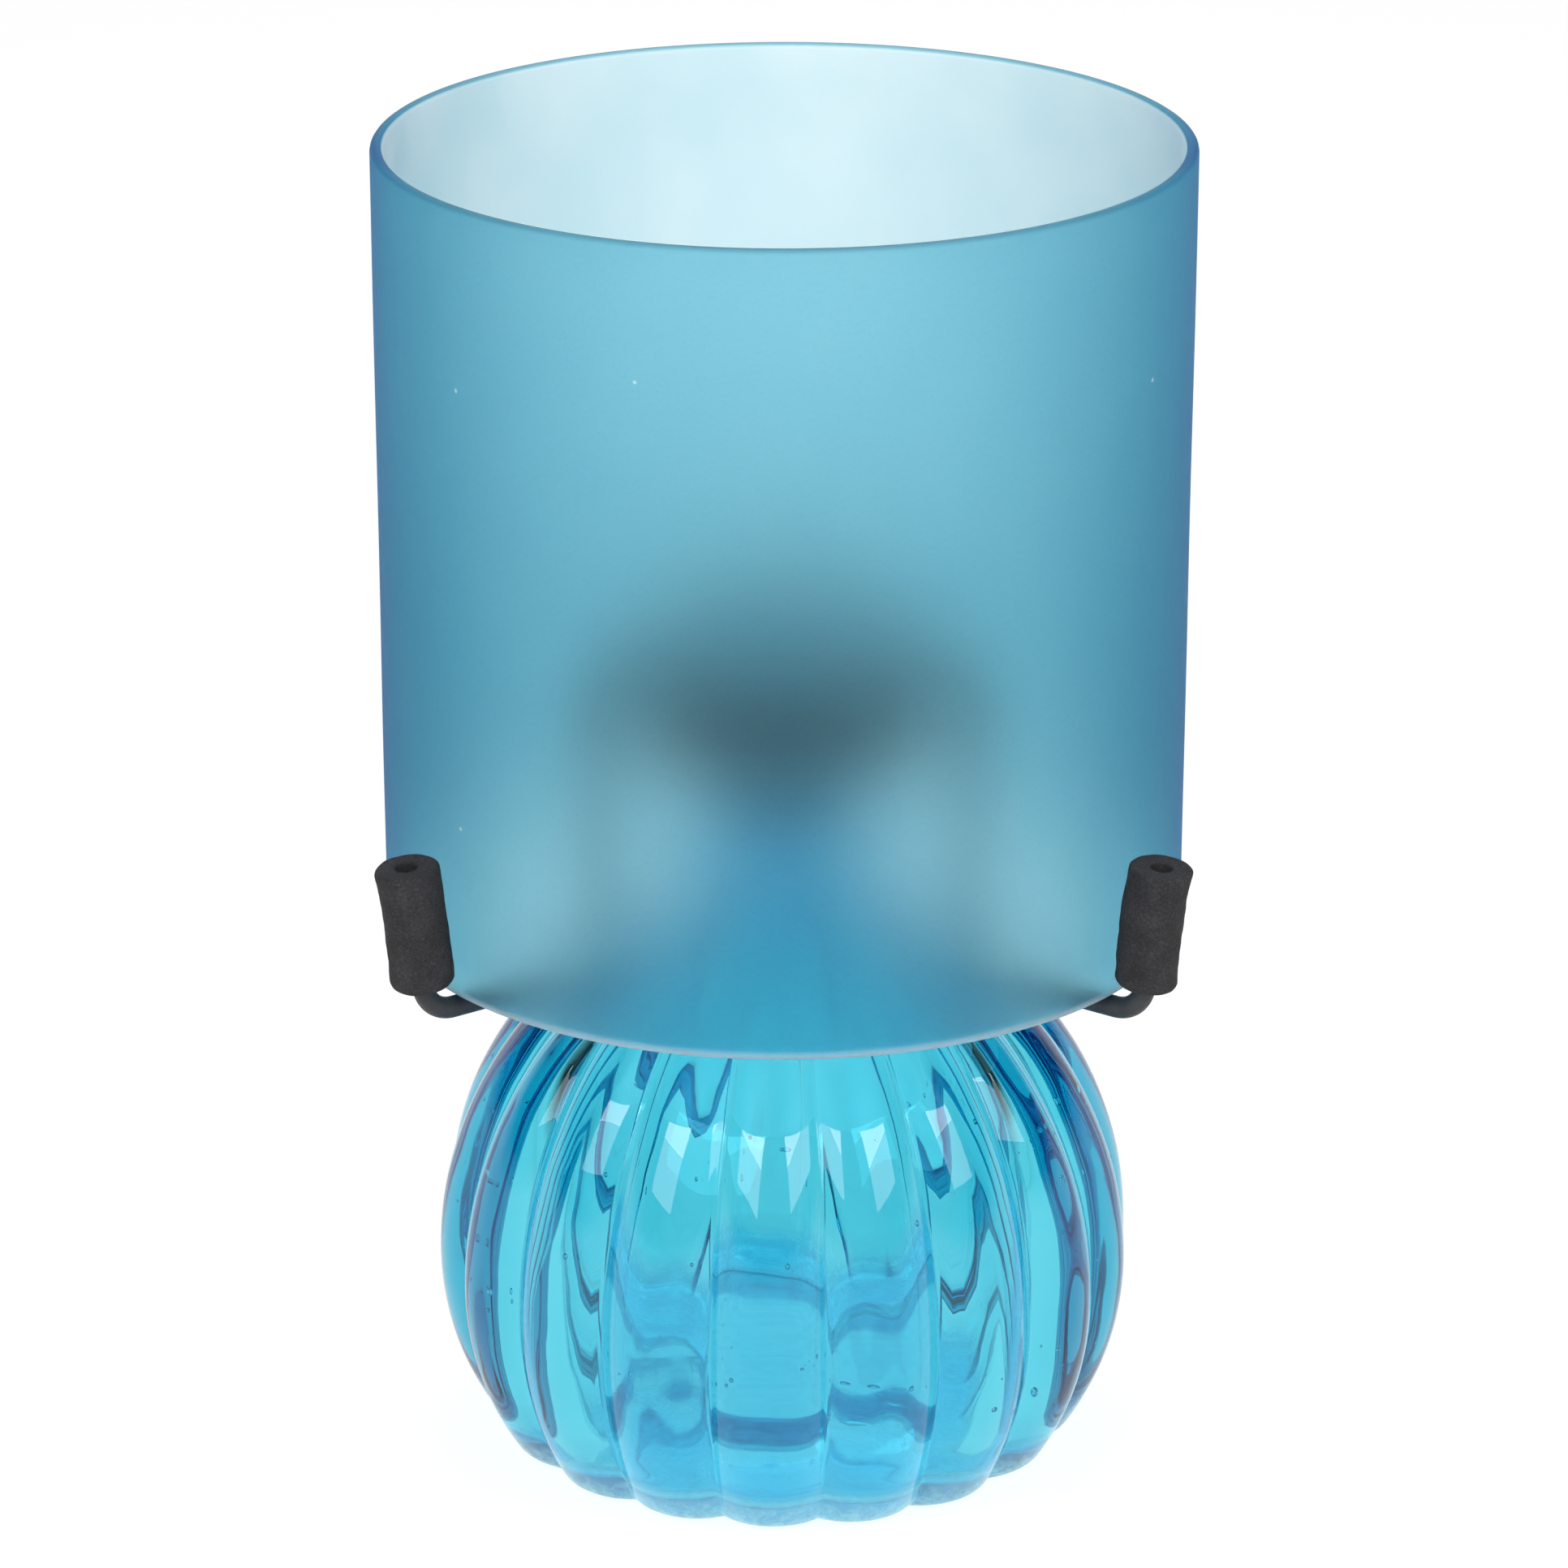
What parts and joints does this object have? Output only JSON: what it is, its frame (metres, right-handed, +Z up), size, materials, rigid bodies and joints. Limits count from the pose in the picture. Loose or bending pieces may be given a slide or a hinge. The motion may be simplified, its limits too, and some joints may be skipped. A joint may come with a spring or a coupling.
{
  "type": "candle lantern",
  "caption": "Table candle lantern: a frosted blue glass cylinder stands on foam-tipped wire arms that reach out from a tealight cup in the neck of a ribbed turquoise glass base.",
  "frame": {"origin": "centre of the foot of the glass base, on the surface that the lantern stands on", "axes": "+Z up along the common axis of base, cup and shade; -Y is the front, between the two front arms; +X is to the right seen from the front"},
  "size_m": [0.12, 0.1319, 0.203],
  "materials": {
    "base_glass": "clear turquoise glass with seed bubbles",
    "shade_glass": "frosted blue glass",
    "black_steel": "matt black coating",
    "black_foam": "fine-celled foam",
    "grommet_rubber": "matt",
    "shell_aluminium": "drawn foil",
    "candle_wax": null,
    "tab_steel": "tinned",
    "wick_cotton": "waxed cotton"
  },
  "bodies": {
    "base": {"glass_base": "base_glass"},
    "holder": {"candle_cup": "black_steel", "neck_peg": "black_steel", "neck_grommet": "grommet_rubber", "wire_arm_left": "black_steel", "wire_arm_right": "black_steel", "wire_arm_back": "black_steel", "foam_sleeve_left": "black_foam", "foam_sleeve_right": "black_foam", "foam_sleeve_back": "black_foam"},
    "shade": {"glass_shade": "shade_glass"},
    "tealight": {"tealight_shell": "shell_aluminium", "tealight_wax": "candle_wax", "wick_tab": "tab_steel", "tealight_wick": "wick_cotton"}
  },
  "joints": [
    {"name": "holder_lift", "type": "slide", "parent": "base", "child": "holder", "axis": [0, 0, 1], "range_m": [0, 0.04]},
    {"name": "shade_lift", "type": "slide", "parent": "holder", "child": "shade", "axis": [0, 0, 1], "range_m": [0, 0.06]},
    {"name": "tealight_lift", "type": "slide", "parent": "holder", "child": "tealight", "axis": [0, 0, 1], "range_m": [0, 0.11]}
  ]
}
